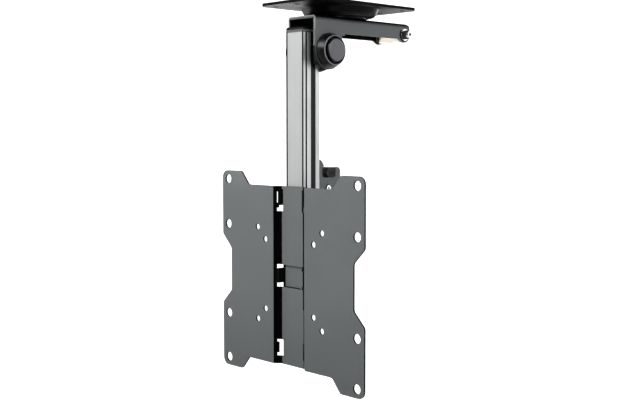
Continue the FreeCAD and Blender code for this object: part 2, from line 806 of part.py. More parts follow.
def head_bracket():
    """Folded bracket: web behind the channel, two ears with hooks, two tongues."""
    front = floor_back + head_gap
    web = box(-head_web_half, head_web_half, front, front + head_sheet,
              head_web_bottom - vesa_drop, head_web_top - vesa_drop)
    half = head_tongue_height / 2
    parts = []
    for side in (-1, 1):
        parts += [head_ear(side), head_tongue(side)]
        parts.append(head_fold(side, head_flange_low - vesa_drop, head_web_top - vesa_drop))
        parts.append(head_fold(side, -half - vesa_drop, half - vesa_drop))
    return web.fuse(parts).removeSplitter()


def tilt_bolt():
    """Bolt through the ears and the column, with its head on the right."""
    start = head_ear_inner + head_sheet + tilt_washer_thickness
    head = hexagon(axle_head_width, tilt_head_height, Vec(start, tilt_y, tilt_z), Vec(1, 0, 0))
    shank = rod_x(tilt_bolt_radius, -start - tilt_head_height, start, tilt_y, tilt_z)
    return head.fuse(shank).removeSplitter()


def tilt_nut():
    """Nut at the left end of the tilt bolt."""
    start = -head_ear_inner - head_sheet - tilt_washer_thickness
    nut = hexagon(axle_head_width, tilt_head_height, Vec(start, tilt_y, tilt_z), Vec(-1, 0, 0))
    return nut.cut(rod_x(tilt_bolt_radius, start - tilt_head_height, start, tilt_y, tilt_z))


def tilt_washers():
    """Washers outside the ears."""
    return both_sides(lambda side: washer_x(side, head_ear_inner + head_sheet, tilt_washer_radius,
                                            tilt_washer_thickness, tilt_bolt_radius + running_gap,
                                            tilt_y, tilt_z))


def tilt_bushes():
    """Plastic bushes that fill the gap between the column and the ears."""
    return both_sides(lambda side: washer_x(side, column_half, tilt_bush_radius,
                                            head_ear_inner - column_half,
                                            tilt_bolt_radius + running_gap, tilt_y, tilt_z))


def striker_bolt():
    """Polished cross bolt with a drilled end on each side."""
    reach = arm_half_width + striker_washer_thickness + striker_collar_thickness + striker_end_reach
    bolt = rod_x(striker_radius, -reach, reach, striker_behind, -striker_drop)
    rims = [edge for edge in bolt.Edges if abs(abs(edge.CenterOfMass.x) - reach) < 1e-6]
    bolt = bolt.makeChamfer(striker_radius / 9, rims)
    for side in (-1, 1):
        low, high = span(side, reach - striker_bore_depth, reach)
        bolt = bolt.cut(rod_x(striker_bore, low, high, striker_behind, -striker_drop))
    return bolt


def striker_washers():
    """Bright washers against the arm's sides."""
    return both_sides(lambda side: washer_x(side, arm_half_width, striker_washer_radius,
                                            striker_washer_thickness, striker_radius + running_gap,
                                            striker_behind, -striker_drop))


def striker_collars():
    """Dark push-on collars that keep the striker in place."""
    start = arm_half_width + striker_washer_thickness
    return both_sides(lambda side: washer_x(side, start, striker_collar_radius,
                                            striker_collar_thickness, striker_radius,
                                            striker_behind, -striker_drop))


def striker_spacer():
    """Black moulded spacer between the buffer and the left side of the arm."""
    return washer_x(-1, buffer_left, striker_spacer_radius, arm_inner - buffer_left, striker_radius,
                    striker_behind, -striker_drop)


def striker_buffer():
    """Soft block on the striker, with a slot at the rear that leaves the claw its grip."""
    y, z = striker_behind, -striker_drop
    front, rear = y - buffer_ahead, y + buffer_flat
    low, high = z - buffer_drop, z + buffer_rise
    block = box(-buffer_left, arm_inner, front, rear, low, high)
    block = rounded(block, buffer_round, Vec(1, 0, 0), [Vec(0, front, low), Vec(0, rear, low),
                                                        Vec(0, front, high), Vec(0, rear, high)])
    x0, x1 = claw_span()
    x0, x1 = x0 - buffer_slot_gap, x1 + buffer_slot_gap
    jaw = box(x0, x1, y - claw_jaw_rise - buffer_slot_gap, y, z, high)
    return block.cut([box(x0, x1, y, rear, low, high), jaw, rod_x(striker_radius, -arm_inner, arm_inner, y, z)])


def housing_flange(side):
    """Side flange of the latch housing with its open notch."""
    top = housing_top - vesa_drop
    low = housing_bottom - vesa_drop
    rear = column_back + housing_depth
    x0, x1 = span(side, column_half - housing_sheet, column_half)
    flange = box(x0, x1, column_back, rear, low, top)
    flange = rounded(flange, housing_corner, Vec(1, 0, 0), [Vec(0, rear, top), Vec(0, rear, low)])
    floor = housing_notch_bottom - vesa_drop
    notch = box(x0, x1, column_back + housing_notch_start, column_back + housing_notch_end, floor,
                top + housing_corner)
    places = [Vec(0, column_back + start, floor) for start in (housing_notch_start, housing_notch_end)]
    notch = rounded(notch, housing_notch_round, Vec(1, 0, 0), places)
    flange = flange.cut(notch).fuse(prism_x(fin_outline(), x0, x1)).removeSplitter()
    return flange.cut(rod_x(latch_rivet_radius, x0, x1, latch_y, latch_z))


def fin_outline():
    """Hooked fin that rises from the front strip of a flange above the housing's top."""
    top = housing_top - vesa_drop
    profile = [(0, -housing_corner), (0, fin_rise), (fin_nose, fin_rise),
               (fin_reach * 0.62, fin_rise * 0.73), (fin_reach, fin_rise * 0.33),
               (fin_reach - fin_nose / 4, fin_nose), (housing_notch_start, -fin_nose / 3),
               (housing_notch_start, -housing_corner)]
    return [(column_back + y, top + z) for y, z in profile]


def housing_screw_heights():
    """Heights of the two screws of the latch housing."""
    return [housing_bottom + housing_screw_margin - vesa_drop, housing_top - housing_screw_margin - vesa_drop]


def latch_housing():
    """Folded housing screwed to the back of the column."""
    top = housing_top - vesa_drop
    low = housing_bottom - vesa_drop
    web = box(-column_half, column_half, column_back, column_back + housing_sheet, low, top)
    housing = web.fuse([housing_flange(1), housing_flange(-1)]).removeSplitter()
    for z in housing_screw_heights():
        housing = housing.cut(rod_y(housing_screw_radius + cap_clearance, column_back,
                                    column_back + housing_sheet, 0, z))
    return housing


def housing_screws():
    """Low screws that hold the housing on the column."""
    seat = column_back + housing_sheet
    depth = seat - slot_nut_back()[0]
    screws = []
    for z in housing_screw_heights():
        head = rod_y(housing_screw_radius * 1.8, seat, seat + housing_screw_head, 0, z)
        screws.append(head.fuse(rod_y(housing_screw_radius, seat - depth, seat, 0, z)).removeSplitter())
    return Part.makeCompound(screws)


def housing_nuts():
    """Square nuts of the housing."""
    return Part.makeCompound([slot_nut(z, housing_screw_radius) for z in housing_screw_heights()])


def latch_rivet():
    """Drilled rivet on which the claw turns."""
    reach = column_half + latch_rivet_head_height
    rivet = rod_x(latch_rivet_radius, -column_half, column_half, latch_y, latch_z)
    heads = [rod_x(latch_rivet_head, column_half, reach, latch_y, latch_z),
             rod_x(latch_rivet_head, -reach, -column_half, latch_y, latch_z)]
    rivet = rivet.fuse(heads).removeSplitter()
    for side in (-1, 1):
        low, high = span(side, reach - 0.9, reach)
        rivet = rivet.cut(rod_x(latch_rivet_radius * 0.5, low, high, latch_y, latch_z))
    return rivet


def striker_when_folded():
    """Where the striker comes to lie, seen from the column, once the mount is folded."""
    along = striker_behind - pivot_y
    up = -striker_drop - pivot_z
    return pivot_y + up, pivot_z - along


def claw_closed_outline():
    """Claw with its jaw behind the striker, as (y, z) from the rivet."""
    striker_y, striker_z = striker_when_folded()
    sy, sz = striker_y - latch_y, striker_z - latch_z
    floor = sz - striker_radius - claw_gap
    jaw = sy + striker_radius + claw_gap
    back = jaw + claw_jaw_thickness
    tip = sz + claw_jaw_rise
    hub = math.radians(claw_swing)
    return [(claw_mouth_start, floor), (jaw, floor), (jaw, tip), (jaw + claw_jaw_thickness / 2, tip),
            (back, sz), (back, floor - claw_jaw_thickness / 2), (jaw, floor - claw_jaw_thickness * 2),
            (claw_hub_radius * math.cos(hub), -claw_hub_radius * math.sin(hub)),
            (-claw_hub_radius * math.cos(hub), claw_hub_radius * math.sin(hub))]


def turned(y, z, degrees):
    """A point beside the rivet after a turn about it, as (y, z) in the part's frame."""
    angle = math.radians(degrees)
    return (latch_y + y * math.cos(angle) - z * math.sin(angle),
            latch_z + y * math.sin(angle) + z * math.cos(angle))


def claw_span():
    """Thickness range of the claw."""
    return -claw_offset - claw_thickness / 2, -claw_offset + claw_thickness / 2


def latch_pin_place():
    """Centre of the pin that joins the claw and the grip."""
    return latch_y + latch_pin_behind, latch_z + latch_pin_rise


def latch_claw():
    """Steel claw, drawn open."""
    x0, x1 = claw_span()
    blade = prism_x([turned(y, z, -claw_swing) for y, z in claw_closed_outline()], x0, x1)
    blade = blade.fuse(rod_x(claw_hub_radius, x0, x1, latch_y, latch_z)).removeSplitter()
    blade = blade.cut(rod_x(latch_rivet_radius + running_gap, x0, x1, latch_y, latch_z))
    y, z = latch_pin_place()
    return blade.cut(rod_x(latch_pin_radius, x0, x1, y, z))


def grip_half():
    """Half width of the grip's body between the flanges."""
    return column_half - housing_sheet - grip_gap


def latch_pin():
    """Cross pin through the grip and the claw."""
    y, z = latch_pin_place()
    return rod_x(latch_pin_radius, -grip_half(), grip_half(), y, z)


def grip_front_closed():
    """Front of the grip beside the rivet, once the claw is closed."""
    return housing_notch_start - latch_behind_column + claw_gap


def grip_front(z):
    """A point on the open grip's front edge, which stands upright once the claw is closed."""
    angle = math.radians(claw_swing)
    y = (grip_front_closed() + z * math.sin(angle)) / math.cos(angle)
    return latch_y + y, latch_z + z


def grip_pad_outline():
    """Side view of the pads, clear of the notch's rounded corners both open and closed."""
    angle = math.radians(claw_swing)
    floor = housing_notch_bottom - latch_height + claw_gap
    corner = housing_notch_round / 2
    middle = floor * math.tan(angle / 2)
    front = grip_front_closed()
    return [turned(front, floor + corner, -claw_swing), grip_front(grip_top),
            turned(grip_rear, grip_top, 0), turned(grip_rear, floor + corner, 0),
            turned(grip_rear - corner, floor, 0), turned(middle, floor, 0),
            turned(front + corner, floor, -claw_swing)]


def grip_slot():
    """Room for the claw in the grip, open at the top, at the rear and underneath."""
    x0, x1 = claw_span()
    outline = claw_closed_outline()
    hub, mouth = outline[-1], outline[0]
    low = turned(hub[0] - claw_gap, hub[1], -claw_swing)
    high = turned(mouth[0] - claw_gap, mouth[1], -claw_swing)
    top = latch_z + grip_top + claw_gap
    rear = latch_y + grip_rear + claw_gap
    points = [low, high, (high[0], top), (rear, top), (rear, latch_z), (low[0], latch_z)]
    return prism_x(points, x0 - running_gap, x1 + running_gap)


def latch_grip():
    """Moulded block around the claw with a pad on each side that reaches through a notch."""
    body = [grip_front(grip_inner_low), grip_front(grip_top), turned(grip_rear, grip_top, 0),
            turned(grip_rear, grip_inner_low, 0)]
    reach = column_half + grip_proud
    grip = prism_x(body, -grip_half(), grip_half()).fuse(prism_x(grip_pad_outline(), -reach, reach))
    places = [Vec(0, y, z) for y, z in (body[1], body[2])]
    grip = rounded(grip.removeSplitter(), grip_round, Vec(1, 0, 0), places)
    y, z = latch_pin_place()
    return grip.cut(grip_slot()).cut(rod_x(latch_pin_radius, -grip_half(), grip_half(), y, z))


def latch_spring():
    """Close-wound torsion spring around the rivet, with its two straight legs."""
    start = claw_span()[1] + claw_gap
    bore = latch_rivet_radius + spring_bore_gap
    crest = bore + spring_wire * 2
    profile = [(start, bore)]
    for turn in range(spring_turns):
        x = start + turn * spring_wire * 2
        profile += [(x, crest - spring_wire), (x + spring_wire * 0.4, crest - spring_wire * 0.2),
                    (x + spring_wire, crest), (x + spring_wire * 1.6, crest - spring_wire * 0.2)]
    end = start + spring_turns * spring_wire * 2
    profile += [(end, crest - spring_wire), (end, bore)]
    coil = turned_x(profile, latch_y, latch_z)
    middle = bore + spring_wire
    low_leg = rod_y(spring_wire, column_back + housing_sheet, latch_y, start + spring_wire, latch_z - middle)
    high_leg = rod_z(spring_wire, latch_z, latch_z + spring_leg, end - spring_wire, latch_y + middle)
    return coil.fuse([low_leg, high_leg]).removeSplitter()


def pieces():
    """Every node and its solid."""
    return {
        "ceiling_plate": ceiling_plate(),
        "swivel_bolt": swivel_bolt(),
        "swivel_disc": swivel_disc(),
        "swivel_washer": swivel_washer(),
        "swivel_spring": swivel_spring(),
        "swivel_nut": swivel_nut(),
        "arm_bracket": arm_bracket(),
        "hinge_axle": hinge_axle(),
        "hinge_axle_nut": hinge_axle_nut(),
        "hinge_axle_washers": hinge_axle_washers(),
        "hinge_friction_washers": hinge_friction_washers(),
        "hinge_cover_right": hinge_cover(1),
        "hinge_cover_left": hinge_cover(-1),
        "cover_disc_right": cover_disc(1),
        "cover_disc_left": cover_disc(-1),
        "striker_bolt": striker_bolt(),
        "striker_washers": striker_washers(),
        "striker_collars": striker_collars(),
        "striker_spacer": striker_spacer(),
        "striker_buffer": striker_buffer(),
        "column_profile": column_profile(),
        "column_top_cap": column_top_cap(),
        "column_foot_cap": column_foot_cap(),
        "slot_strip_right": slot_strip(1),
        "slot_strip_left": slot_strip(-1),
        "hinge_knuckle": knuckle(),
        "knuckle_screws": knuckle_screws(),
        "knuckle_nuts": knuckle_nuts(),
        "latch_housing": latch_housing(),
        "housing_screws": housing_screws(),
        "housing_nuts": housing_nuts(),
        "latch_rivet": latch_rivet(),
        "latch_claw": latch_claw(),
        "latch_pin": latch_pin(),
        "latch_grip": latch_grip(),
        "latch_spring": latch_spring(),
        "head_bracket": head_bracket(),
        "tilt_bolt": tilt_bolt(),
        "tilt_nut": tilt_nut(),
        "tilt_washers": tilt_washers(),
        "tilt_bushes": tilt_bushes(),
        "vesa_plate": vesa_plate(),
    }


def main():
    """Write one file for each node."""
    os.makedirs("parts", exist_ok=True)
    for name, shape in pieces().items():
        shape.exportStep("parts/" + name + ".step")
        print(name, "solids", len(shape.Solids), "valid", shape.isValid(), "volume", round(shape.Volume))


main()
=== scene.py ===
import bpy
import bmesh
import json
import math
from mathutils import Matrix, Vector


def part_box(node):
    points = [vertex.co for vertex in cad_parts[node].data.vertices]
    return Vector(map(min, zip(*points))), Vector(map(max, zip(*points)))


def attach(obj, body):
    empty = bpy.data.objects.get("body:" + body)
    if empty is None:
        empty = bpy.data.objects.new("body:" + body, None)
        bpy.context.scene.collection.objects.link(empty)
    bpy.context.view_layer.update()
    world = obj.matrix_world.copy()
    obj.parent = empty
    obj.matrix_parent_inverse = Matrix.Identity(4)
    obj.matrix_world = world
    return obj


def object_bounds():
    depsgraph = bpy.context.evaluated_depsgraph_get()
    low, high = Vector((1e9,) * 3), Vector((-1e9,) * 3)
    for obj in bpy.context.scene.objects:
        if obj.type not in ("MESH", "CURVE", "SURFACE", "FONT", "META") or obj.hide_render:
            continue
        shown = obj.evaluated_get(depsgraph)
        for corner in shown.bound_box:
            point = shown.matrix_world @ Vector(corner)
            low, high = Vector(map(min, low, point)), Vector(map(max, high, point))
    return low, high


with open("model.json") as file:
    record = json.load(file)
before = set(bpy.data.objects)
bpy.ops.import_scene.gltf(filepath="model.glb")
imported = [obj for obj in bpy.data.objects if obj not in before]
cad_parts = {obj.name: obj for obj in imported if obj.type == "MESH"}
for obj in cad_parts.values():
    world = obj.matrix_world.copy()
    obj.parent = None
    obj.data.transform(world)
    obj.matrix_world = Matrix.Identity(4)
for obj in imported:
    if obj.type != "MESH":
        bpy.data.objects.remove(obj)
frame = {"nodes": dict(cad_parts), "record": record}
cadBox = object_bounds()
millimetre = 0.001


# an sRGB hex colour as linear values
def toLinear(code):
    channels = [int(code[i:i + 2], 16) / 255 for i in (1, 3, 5)]
    linear = [c / 12.92 if c <= 0.04045 else ((c + 0.055) / 1.055) ** 2.4 for c in channels]
    return (*linear, 1.0)


# adds one node; a setting is a property of the node, or an input by name or number,
# and an input takes a number, a hex colour or the output of another node
def addNode(tree, kind, settings):
    node = tree.nodes.new(kind)
    for key, value in settings.items():
        if isinstance(key, str) and key not in node.inputs:
            setattr(node, key, value)
        elif isinstance(value, bpy.types.NodeSocket):
            tree.links.new(value, node.inputs[key])
        elif isinstance(value, str):
            node.inputs[key].default_value = toLinear(value)
        else:
            node.inputs[key].default_value = value
    return node


# camera solved from the screen holes in the photograph
cameraSettings = {
    "place": (0.7826, -0.7739, -0.1322),
    "azimuth": 46.44,
    "elevation": 4.01,
    "lens": 56.83,
    "sensor": 36.0,
    "nearest": 0.01,
}


def makeCamera(settings):
    data = bpy.data.cameras.new("photoCamera")
    data.lens = settings["lens"]
    data.sensor_width = settings["sensor"]
    data.clip_start = settings["nearest"]
    camera = bpy.data.objects.new("photoCamera", data)
    camera.location = settings["place"]
    tip = math.radians(90.0 - settings["elevation"])
    camera.rotation_euler = (tip, 0.0, math.radians(settings["azimuth"]))
    bpy.context.scene.collection.objects.link(camera)
    bpy.context.scene.camera = camera


makeCamera(cameraSettings)
print("camera placed")

# a pale paper floor that sweeps up behind the object, far enough away to stay even
paperSettings = {
    "floorBelow": 0.85,
    "halfWidth": 3.2,
    "front": -3.2,
    "bendStart": 1.6,
    "bendRadius": 1.2,
    "height": 3.4,
    "bendSteps": 14,
    "colour": "#FAFAFA",
    "roughness": 0.9,
    "glowSeen": 0.6,
}


def paperMaterial(settings):
    material = bpy.data.materials.new("studioPaper")
    material.use_nodes = True
    tree = material.node_tree
    shader = tree.nodes["Principled BSDF"]
    shader.inputs["Base Color"].default_value = toLinear(settings["colour"])
    shader.inputs["Roughness"].default_value = settings["roughness"]
    shader.inputs["Emission Color"].default_value = toLinear(settings["colour"])
    seen = addNode(tree, "ShaderNodeLightPath", {}).outputs["Is Camera Ray"]
    glow = addNode(tree, "ShaderNodeMath", {"operation": "MULTIPLY", 0: seen, 1: settings["glowSeen"]})
    tree.links.new(glow.outputs["Value"], shader.inputs["Emission Strength"])
    return material


def makePaper(settings):
    floorZ = cadBox[0][2] - settings["floorBelow"]
    start = settings["bendStart"]
    bend = settings["bendRadius"]
    profile = [(settings["front"], floorZ), (start, floorZ)]
    for i in range(1, settings["bendSteps"] + 1):
        turn = math.radians(90.0 * i / settings["bendSteps"])
        profile.append((start + bend * math.sin(turn), floorZ + bend * (1 - math.cos(turn))))
    profile.append((start + bend, floorZ + settings["height"]))
    shape = bmesh.new()
    half = settings["halfWidth"]
    rows = [[shape.verts.new((x, y, z)) for x in (-half, half)] for y, z in profile]
    for low, high in zip(rows, rows[1:]):
        shape.faces.new((low[0], low[1], high[1], high[0]))
    mesh = bpy.data.meshes.new("studioFloor")
    shape.to_mesh(mesh)
    shape.free()
    mesh.polygons.foreach_set("use_smooth", [True] * len(mesh.polygons))
    mesh.materials.append(paperMaterial(settings))
    floor = bpy.data.objects.new("studioFloor", mesh)
    floor.rotation_euler = (0.0, 0.0, math.radians(cameraSettings["azimuth"]))
    bpy.context.scene.collection.objects.link(floor)


# the surroundings look pale from every side, and give only a faint light of their own
worldSettings = {"colour": "#FFFFFF", "light": 0.13, "seen": 0.88}


def makeWorld(settings):
    world = bpy.data.worlds.new("studioWorld")
    world.use_nodes = True
    tree = world.node_tree
    background = tree.nodes["Background"]
    background.inputs["Color"].default_value = toLinear(settings["colour"])
    seen = addNode(tree, "ShaderNodeLightPath", {}).outputs["Is Camera Ray"]
    strength = addNode(tree, "ShaderNodeMapRange",
                       {"Value": seen, "To Min": settings["light"], "To Max": settings["seen"]})
    tree.links.new(strength.outputs["Result"], background.inputs["Strength"])
    bpy.context.scene.world = world


# lights stand round the object: place and aim in metres, power in watts.
# A panel has its side lengths in metres; the snoot has its beam in degrees
lightSettings = {
    "keyHigh": {"place": (-0.05, -0.6, 0.32), "aim": (0.0, -0.05, -0.18), "size": (0.4, 0.3), "power": 5.9},
    "topRight": {"place": (1.2, 0.12, 0.45), "aim": (0.0, 0.0, -0.1), "size": (0.6, 0.6), "power": 6.4},
    "panelLeft": {"place": (-1.4, -1.35, 0.2), "aim": (0.0, -0.05, -0.05), "size": (0.5, 1.5), "power": 3.5},
    "panelRight": {"place": (1.35, -1.3, 0.1), "aim": (0.0, -0.05, -0.1), "size": (0.4, 1.3), "power": 4.5},
    "stripFront": {"place": (-0.42, -1.5, -0.1), "aim": (0.0, -0.05, -0.05), "size": (0.12, 1.8),
                   "power": 2.5},
    "fillRight": {"place": (1.5, 1.6, 0.25), "aim": (0.0, 0.0, -0.15), "size": (1.0, 1.7), "power": 8.4},
    "lowLeft": {"place": (-1.3, -0.3, -0.5), "aim": (0.0, 0.0, 0.0), "size": (0.7, 0.4), "power": 2.0},
    "fillBack": {"place": (-0.35, 1.5, 0.25), "aim": (0.0, 0.0, -0.2), "size": (0.9, 0.9), "power": 8.0},
    "snoot": {"place": (-0.25, -0.45, -0.35), "aim": (0.0, 0.08, -0.034), "power": 13.5,
              "beam": 9.0, "beamBlend": 0.4, "radius": 0.04},
    "backdrop": {"place": (-0.6, 0.6, 1.9), "aim": (-1.4, 1.6, -0.6), "size": (2.2, 2.2), "power": 71.0},
}


def makeLight(name, settings):
    data = bpy.data.lights.new(name, "SPOT" if "beam" in settings else "AREA")
    if "beam" in settings:
        data.spot_size = math.radians(settings["beam"])
        data.spot_blend = settings["beamBlend"]
        data.shadow_soft_size = settings["radius"]
    else:
        data.shape = "RECTANGLE"
        data.size, data.size_y = settings["size"]
    data.energy = settings["power"]
    light = bpy.data.objects.new(name, data)
    light.location = settings["place"]
    aim = Vector(settings["aim"]) - Vector(settings["place"])
    light.rotation_euler = aim.to_track_quat("-Z", "Y").to_euler()
    bpy.context.scene.collection.objects.link(light)


makePaper(paperSettings)
makeWorld(worldSettings)
for lightName, lightValues in lightSettings.items():
    makeLight(lightName, lightValues)
bpy.context.scene.view_settings.view_transform = "Standard"
print("studio and lights made")

# values that the finishes share
finishSettings = {
    "plainSheen": 0.5,  # where a finish gives none of its own
    "patchSpan": (0.3, 0.7),  # from the noise value where patches start to the one where they are full
    "speckleSpan": (0.52, 0.68),
    "edgeReach": 0.35,  # lean of the rounded normal where an edge is full
    "bevelSamples": 4,
    "lineShare": 0.6,  # shares of a lined metal's roughness
    "cloudShare": 0.4,
    "detail": {"peel": 3.0, "speckle": 1.0, "cloud": 2.0, "line": 3.0, "band": 2.0, "grain": 2.0,
               "flow": 3.0},
}
# numbers of the colour inputs and of the colour output of a Mix node
mixUnder = 6
mixOver = 7
mixResult = 2
# round parts whose axis runs along X: depth and height of the axis in millimetres
axisPlaces = {"striker": (81.0, -27.0), "rivet": (-29.7, -194.5), "hinge": (-36.5, -50.6)}


# a finish's noise of one kind, with grains of its size in millimetres, stretched along the axes
def grain(tree, place, settings, kind, stretch=(1.0, 1.0, 1.0)):
    squeeze = tuple(1.0 / factor for factor in stretch)
    moved = addNode(tree, "ShaderNodeMapping", {"Vector": place, "Scale": squeeze})
    noise = addNode(tree, "ShaderNodeTexNoise", {"Vector": moved.outputs["Vector"],
                                                 "Scale": 1.0 / (settings[kind + "Size"] * millimetre),
                                                 "Detail": finishSettings["detail"][kind]})
    return noise.outputs["Fac"]


# 0 on flat ground and 1 on an edge, from how far a rounded normal leans from the true one
def edgeMask(tree, width):
    true = addNode(tree, "ShaderNodeNewGeometry", {}).outputs["Normal"]
    rounded = addNode(tree, "ShaderNodeBevel", {"samples": finishSettings["bevelSamples"],
                                                "Radius": width * millimetre}).outputs["Normal"]
    likeness = addNode(tree, "ShaderNodeVectorMath", {"operation": "DOT_PRODUCT", 0: rounded, 1: true})
    return addNode(tree, "ShaderNodeMapRange",
                   {"Value": likeness.outputs["Value"], "From Min": 1.0 - finishSettings["edgeReach"],
                    "From Max": 1.0, "To Min": 1.0, "To Max": 0.0}).outputs["Result"]


# one mask from several: MULTIPLY keeps what all of them cover, MAXIMUM what any of them covers
def joinMasks(tree, operation, masks):
    joined = masks[0]
    for mask in masks[1:]:
        both = addNode(tree, "ShaderNodeMath", {"operation": operation, 0: joined, 1: mask})
        joined = both.outputs["Value"]
    return joined


# 1 inside a box given by two corners in millimetres from the part's origin, 0 outside
def boxMask(tree, place, low, high):
    axes = addNode(tree, "ShaderNodeSeparateXYZ", {0: place}).outputs
    within = []
    for axis, start, end in zip(axes, low, high):
        middle = (start + end) / 2 * millimetre
        half = (end - start) / 2 * millimetre
        near = addNode(tree, "ShaderNodeMath", {"operation": "COMPARE", 0: axis, 1: middle, 2: half})
        within.append(near.outputs["Value"])
    return joinMasks(tree, "MULTIPLY", within)


# 1 on a ring round the axis of a round part, 0 elsewhere; its radius and half width in millimetres
def ringMask(tree, place, part, radius, halfWidth):
    axes = addNode(tree, "ShaderNodeSeparateXYZ", {0: place}).outputs
    spot = addNode(tree, "ShaderNodeCombineXYZ", {"Y": axes["Y"], "Z": axes["Z"]}).outputs["Vector"]
    depth, height = axisPlaces[part]
    away = addNode(tree, "ShaderNodeVectorMath",
                   {"operation": "DISTANCE", 0: spot, 1: (0.0, depth * millimetre, height * millimetre)})
    return addNode(tree, "ShaderNodeMath",
                   {"operation": "COMPARE", 0: away.outputs["Value"], 1: radius * millimetre,
                    2: halfWidth * millimetre}).outputs["Value"]


# 0 before the start and the most beyond the end, in millimetres along a direction
def fadeMask(tree, place, along, start, end, most=1.0):
    reach = addNode(tree, "ShaderNodeVectorMath", {"operation": "DOT_PRODUCT", 0: place, 1: along})
    return addNode(tree, "ShaderNodeMapRange",
                   {"Value": reach.outputs["Value"], "From Min": start * millimetre,
                    "From Max": end * millimetre, "To Max": most}).outputs["Result"]


# 1 where the surface faces +X, -X or, with X alone, either of the two; so with Y and Z
def facingMask(tree, normal, facing, start, end):
    lean = addNode(tree, "ShaderNodeSeparateXYZ", {0: normal}).outputs[facing[-1]]
    if facing.startswith("-"):
        start, end = -start, -end
    elif not facing.startswith("+"):
        lean = addNode(tree, "ShaderNodeMath", {"operation": "ABSOLUTE", 0: lean}).outputs["Value"]
    return addNode(tree, "ShaderNodeMapRange",
                   {"Value": lean, "From Min": start, "From Max": end}).outputs["Result"]


# each patch of painted shade or painted highlight covers its boxes, ring, fade and facings where they
# overlap, less what it spares; one with sheenKept leaves that share of the sheen there, and one without it
# leaves all
def paintedLightMask(tree, tint):
    coordinates = addNode(tree, "ShaderNodeTexCoord", {}).outputs
    place = coordinates["Object"]
    normal = coordinates["Normal"]
    masks = [facingMask(tree, normal, *facing) for facing in tint.get("facing", ())]
    if "boxes" in tint:
        masks.append(joinMasks(tree, "MAXIMUM", [boxMask(tree, place, *box) for box in tint["boxes"]]))
    if "ring" in tint:
        masks.append(ringMask(tree, place, *tint["ring"]))
    if "fade" in tint:
        masks.append(fadeMask(tree, place, **tint["fade"]))
    spared = [boxMask(tree, place, *box) for box in tint.get("sparedBoxes", ())]
    spared += [facingMask(tree, normal, *facing) for facing in tint.get("sparedFacing", ())]
    for mask in spared:
        rest = addNode(tree, "ShaderNodeMath", {"operation": "SUBTRACT", 0: 1.0, 1: mask})
        masks.append(rest.outputs["Value"])
    return joinMasks(tree, "MULTIPLY", masks)


# a new material with its nodes, and the place on the object in metres from the part's origin
def startMaterial(name, settings):
    material = bpy.data.materials.new(name)
    material.use_nodes = True
    tree = material.node_tree
    shader = tree.nodes["Principled BSDF"]
    shader.inputs["Metallic"].default_value = settings["metallic"]
    shader.inputs["Specular IOR Level"].default_value = settings.get("sheen", finishSettings["plainSheen"])
    return material, tree, addNode(tree, "ShaderNodeTexCoord", {}).outputs["Object"]


# lays each coat over the first colour where its noise is strong, then the edge colour (partly wear, partly
# painted highlight and shade) and the painted light and shade, and gives the shader its roughness and its
# relief from noises
def finishMaterial(material, settings, coats, dullness, reliefs):
    tree = material.node_tree
    shader = tree.nodes["Principled BSDF"]
    layers = []
    for noise, span, most, over in coats:
        start, end = finishSettings[span]
        amount = addNode(tree, "ShaderNodeMapRange",
                         {"Value": noise, "From Min": start, "From Max": end, "To Max": most})
        layers.append((amount.outputs["Result"], over))
    # edge colour: partly wear, partly a painted highlight where it is lighter and painted shade where it is
    # darker
    edgeWearAndLight = addNode(tree, "ShaderNodeMath", {"operation": "MULTIPLY", 0: edgeMask(tree, settings["edgeWidth"]),
                                            1: settings["edgeAmount"]})
    layers.append((edgeWearAndLight.outputs["Value"], settings["edgeColour"]))
    sheen = shader.inputs["Specular IOR Level"].default_value
    for tint in settings.get("paintedLightAndShade", ()):
        mask = paintedLightMask(tree, tint)
        layers.append((mask, tint["colour"]))
        if "sheenKept" in tint:
            kept = addNode(tree, "ShaderNodeMapRange",
                           {"Value": mask, "To Min": 1.0, "To Max": tint["sheenKept"]})
            sheen = addNode(tree, "ShaderNodeMath",
                            {"operation": "MULTIPLY", 0: sheen, 1: kept.outputs["Result"]}).outputs["Value"]
            tree.links.new(sheen, shader.inputs["Specular IOR Level"])
    colour = settings["colour"]
    for mask, over in layers:
        colour = addNode(tree, "ShaderNodeMix", {"data_type": "RGBA", "Factor": mask, mixUnder: colour,
                                                 mixOver: over}).outputs[mixResult]
    tree.links.new(colour, shader.inputs["Base Color"])
    start, end = finishSettings["patchSpan"]
    smooth, rough = settings["roughness"]
    blur = addNode(tree, "ShaderNodeMapRange", {"Value": dullness, "From Min": start, "From Max": end,
                                                "To Min": smooth, "To Max": rough})
    tree.links.new(blur.outputs["Result"], shader.inputs["Roughness"])
    normal = addNode(tree, "ShaderNodeBevel", {"samples": finishSettings["bevelSamples"],
                                               "Radius": settings["softEdge"] * millimetre}).outputs["Normal"]
    for height, depth in reliefs:
        normal = addNode(tree, "ShaderNodeBump", {"Strength": 1.0, "Distance": depth * millimetre,
                                                  "Height": height, "Normal": normal}).outputs["Normal"]
    tree.links.new(normal, shader.inputs["Normal"])
    return material


# baked powder coat: orange peel, fine speckle, and an edge colour that is partly worn paint and partly
# painted shade
def powderCoat(name, settings):
    material, tree, place = startMaterial(name, settings)
    peel = grain(tree, place, settings, "peel")
    speckle = grain(tree, place, settings, "speckle")
    cloud = grain(tree, place, settings, "cloud")
    coats = [(cloud, "patchSpan", 1.0, settings["cloudColour"]),
             (speckle, "speckleSpan", settings["speckleAmount"], settings["speckleColour"])]
    reliefs = [(peel, settings["peelDepth"]), (speckle, settings["speckleDepth"])]
    return finishMaterial(material, settings, coats, cloud, reliefs)


